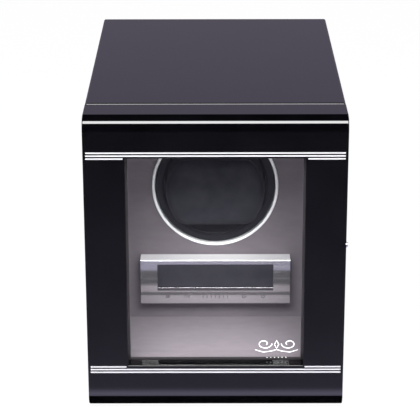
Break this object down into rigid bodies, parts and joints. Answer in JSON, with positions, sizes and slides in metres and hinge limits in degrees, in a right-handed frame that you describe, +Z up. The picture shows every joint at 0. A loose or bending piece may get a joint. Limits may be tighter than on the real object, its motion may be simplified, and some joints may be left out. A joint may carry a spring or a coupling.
{
  "type": "watch winder box",
  "caption": "Lacquered box with a hinged glazed door over a belt-driven turning cup that carries a watch pillow, above a small key and display panel.",
  "frame": {"origin": "on the table under the middle of the box's width and depth, with the door shut and the feet standing at z = 0", "axes": "+Z up; the glazed door faces -Y; +X is to the right as seen from the front"},
  "size_m": [0.1797, 0.2696, 0.211],
  "materials": {
    "lacquered_wood": "black piano lacquer over fibreboard, high gloss",
    "suede": "mauve-grey suede, short nap",
    "fascia_suede": "mauve-grey suede, short nap",
    "pillow_fabric": "charcoal micro-suede",
    "foam": "soft open-cell foam",
    "felt": "black felt",
    "chrome_trim": "polished chrome plate",
    "board": "raw fibreboard",
    "glass": "clear float glass, bevelled rear edges",
    "silver_panel": "silver satin coat",
    "display": "smoked acrylic",
    "lcd": "display glass",
    "circuit_board": "green solder mask",
    "black_plastic": "moulded, satin",
    "grey_plastic": "moulded, satin",
    "key_chrome": "bright metallised",
    "steel": "turned and zinc plated",
    "chassis_steel": "zinc plated sheet",
    "bronze": "sintered bronze",
    "brass_hardware": "polished brass",
    "rubber": "moulded",
    "clear_bumper": "clear polyurethane",
    "cable": "sheathed",
    "magnet": "nickel plated"
  },
  "bodies": {
    "cabinet": {"top_panel": "lacquered_wood", "base_panel": "lacquered_wood", "left_side_panel": "lacquered_wood", "right_side_panel": "lacquered_wood", "rear_panel": "lacquered_wood", "rear_panel_screws": "steel", "rubber_feet": "rubber", "foot_screws": "steel", "floor_board": "board", "floor_lining": "suede", "floor_bearers": "board", "side_linings": "suede", "ceiling_lining": "suede", "fascia_lining": "fascia_suede", "fascia_board": "board", "bezel_ring": "chrome_trim", "drive_chassis": "chassis_steel", "spindle_bushes": "bronze", "chassis_standoffs": "steel", "machine_screws": "steel", "motor_body": "steel", "drive_belt": "rubber", "panel_housing": "silver_panel", "display_window": "display", "lcd_module": "lcd", "control_board": "circuit_board", "key_switches": "black_plastic", "motor_lead": "cable", "power_lead": "cable", "dc_jack": "black_plastic", "jack_nut": "steel", "case_hinge_leaves": "brass_hardware", "hinge_pins": "steel", "case_hinge_screws": "brass_hardware", "latch_magnets": "magnet"},
    "door": {"door_frame": "lacquered_wood", "inlay_strips": "chrome_trim", "door_glass": "glass", "glass_beads": "fascia_suede", "door_lining": "suede", "door_pull": "chrome_trim", "door_hinge_leaves": "brass_hardware", "door_hinge_screws": "brass_hardware", "strike_plates": "steel", "door_bumpers": "clear_bumper"},
    "rotor": {"rotor_cup": "black_plastic", "cup_lining": "felt", "spindle": "steel", "spindle_clip": "steel", "cup_screw": "steel", "rotor_pulley": "grey_plastic"},
    "pillow": {"pillow_core": "foam", "pillow_cover": "pillow_fabric"},
    "motor_rotor": {"motor_shaft": "steel", "motor_pulley": "grey_plastic"},
    "select_key": {"select_key": "key_chrome"},
    "start_key": {"start_key": "key_chrome"},
    "mode_key": {"mode_key": "key_chrome"},
    "direction_key": {"direction_key": "key_chrome"},
    "power_key": {"power_key": "key_chrome"}
  },
  "joints": [
    {"name": "door_hinge", "type": "hinge", "parent": "cabinet", "child": "door", "pos_m": [-0.0875, -0.1005, 0.1065], "axis": [0, 0, -1], "range_deg": [0, 105]},
    {"name": "rotor_spin", "type": "hinge", "parent": "cabinet", "child": "rotor", "pos_m": [0, 0.006, 0.1298], "axis": [0, 1, 0], "continuous": true},
    {"name": "pillow_slide", "type": "slide", "parent": "rotor", "child": "pillow", "axis": [0, -1, 0], "range_m": [0, 0.04]},
    {"name": "motor_spin", "type": "hinge", "parent": "cabinet", "child": "motor_rotor", "pos_m": [0, 0.007, 0.0678], "axis": [0, 1, 0], "continuous": true},
    {"name": "select_key_press", "type": "slide", "parent": "cabinet", "child": "select_key", "axis": [0, 1, 0], "range_m": [0, 0.0005], "stiffness_N_per_m": 400, "springref_m": -0.0005},
    {"name": "start_key_press", "type": "slide", "parent": "cabinet", "child": "start_key", "axis": [0, 1, 0], "range_m": [0, 0.0005], "stiffness_N_per_m": 400, "springref_m": -0.0005},
    {"name": "mode_key_press", "type": "slide", "parent": "cabinet", "child": "mode_key", "axis": [0, 1, 0], "range_m": [0, 0.0005], "stiffness_N_per_m": 400, "springref_m": -0.0005},
    {"name": "direction_key_press", "type": "slide", "parent": "cabinet", "child": "direction_key", "axis": [0, 1, 0], "range_m": [0, 0.0005], "stiffness_N_per_m": 400, "springref_m": -0.0005},
    {"name": "power_key_press", "type": "slide", "parent": "cabinet", "child": "power_key", "axis": [0, 1, 0], "range_m": [0, 0.0005], "stiffness_N_per_m": 400, "springref_m": -0.0005}
  ],
  "couplings": [
    {"joint": "motor_spin", "follows": "rotor_spin", "ratio": 4}
  ]
}
